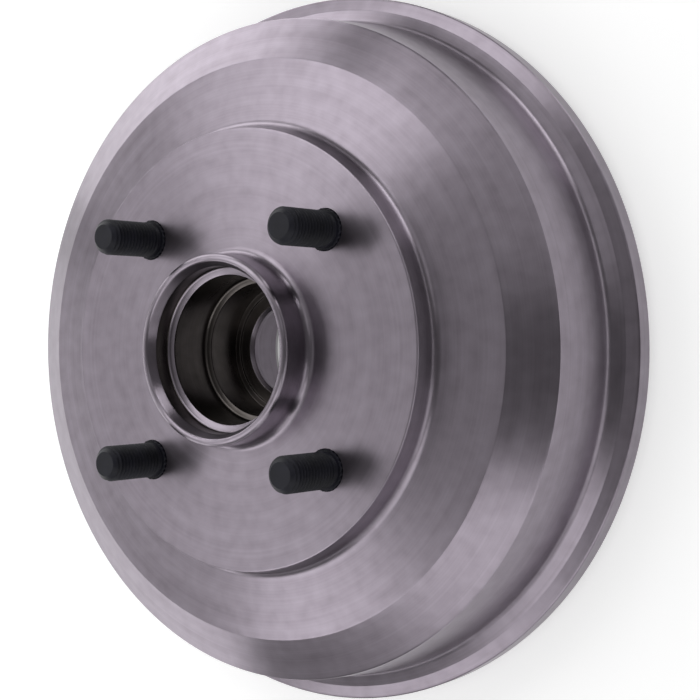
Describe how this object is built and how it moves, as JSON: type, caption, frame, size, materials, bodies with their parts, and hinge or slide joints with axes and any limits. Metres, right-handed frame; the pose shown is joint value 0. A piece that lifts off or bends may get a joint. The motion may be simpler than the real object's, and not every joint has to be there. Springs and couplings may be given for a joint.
{
  "type": "brake drum",
  "caption": "Cast iron rear brake drum with an integral bearing hub, a centring nose, a stepped and shouldered body, a flanged open rim and pressed-in wheel studs.",
  "frame": {"origin": "centre of the open rim's plane, on the drum's axis", "axes": "+Z along the drum's axis from the open rim towards the wheel face; +X half way between two studs"},
  "size_m": [0.2486, 0.2486, 0.0773],
  "materials": {
    "machined_cast_iron": "fine turned, satin",
    "phosphated_steel": "black phosphate, matt"
  },
  "bodies": {
    "root": {"drum": "machined_cast_iron", "wheel_stud_1": "phosphated_steel", "wheel_stud_2": "phosphated_steel", "wheel_stud_3": "phosphated_steel", "wheel_stud_4": "phosphated_steel"}
  },
  "joints": []
}
